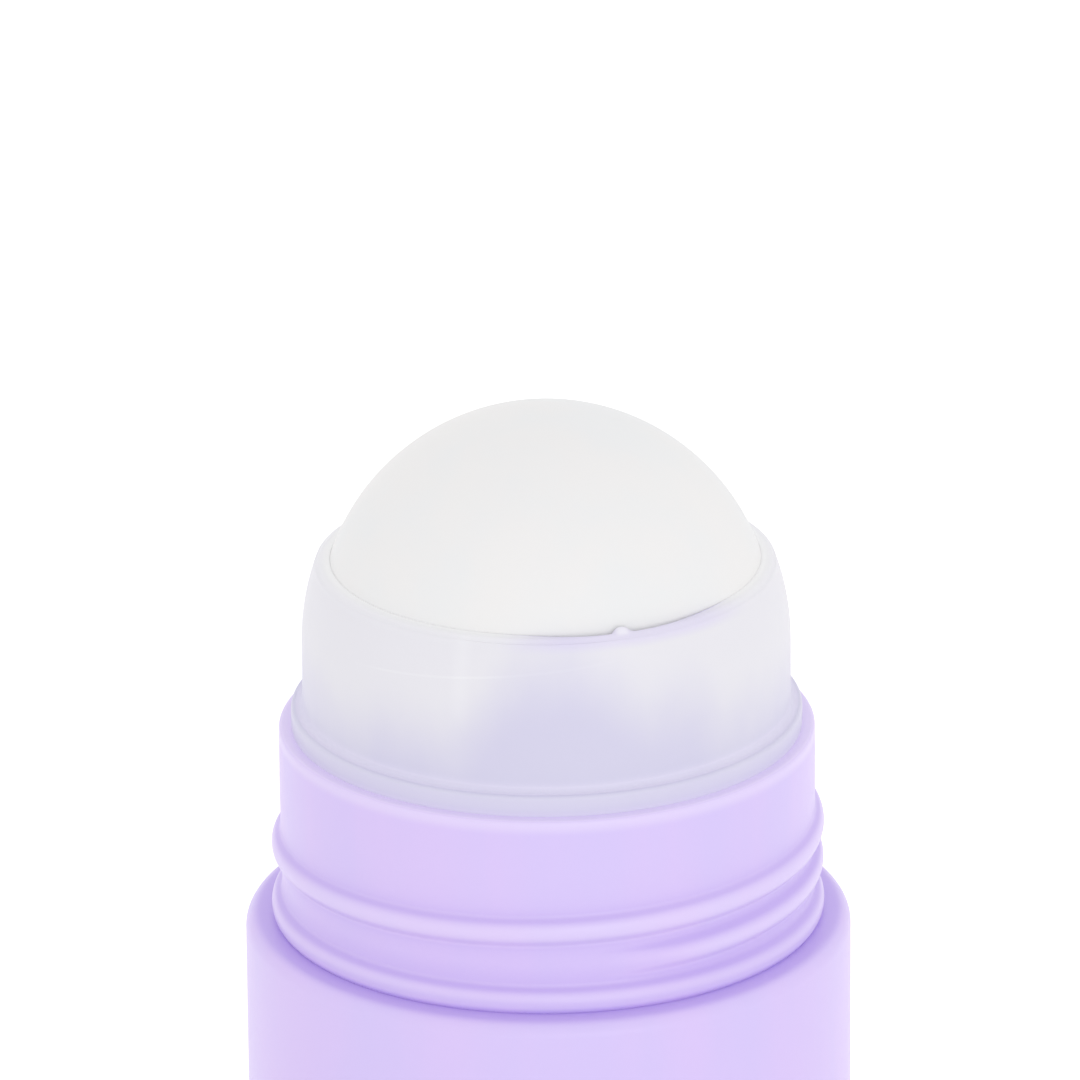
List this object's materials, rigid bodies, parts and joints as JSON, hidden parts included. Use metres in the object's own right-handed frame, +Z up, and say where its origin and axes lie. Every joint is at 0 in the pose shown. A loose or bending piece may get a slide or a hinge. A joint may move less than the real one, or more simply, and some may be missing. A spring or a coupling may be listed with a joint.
{
  "type": "roll-on bottle",
  "caption": "Round squat roll-on bottle for liquid toiletries: blow-moulded body with a screw neck, snap-in translucent ball housing and a free-rolling applicator ball.",
  "frame": {"origin": "centre of the standing ring under the base, on the surface that the bottle stands on", "axes": "+Z up the bottle's axis to the ball, -Y towards the front of the picture's view, +X to its right"},
  "size_m": [0.0476, 0.0476, 0.0815],
  "materials": {
    "bottle_plastic": "semi-gloss blow-moulded lilac plastic",
    "housing_plastic": "satin translucent natural plastic",
    "ball_plastic": "satin off-white plastic"
  },
  "bodies": {
    "bottle": {"bottle": "bottle_plastic", "ball_housing": "housing_plastic"},
    "ball": {"roller_ball": "ball_plastic"}
  },
  "joints": [
    {"name": "ball_roll", "type": "hinge", "parent": "bottle", "child": "ball", "pos_m": [0, 0, 0.0637], "axis": [1, 0, 0], "continuous": true}
  ]
}
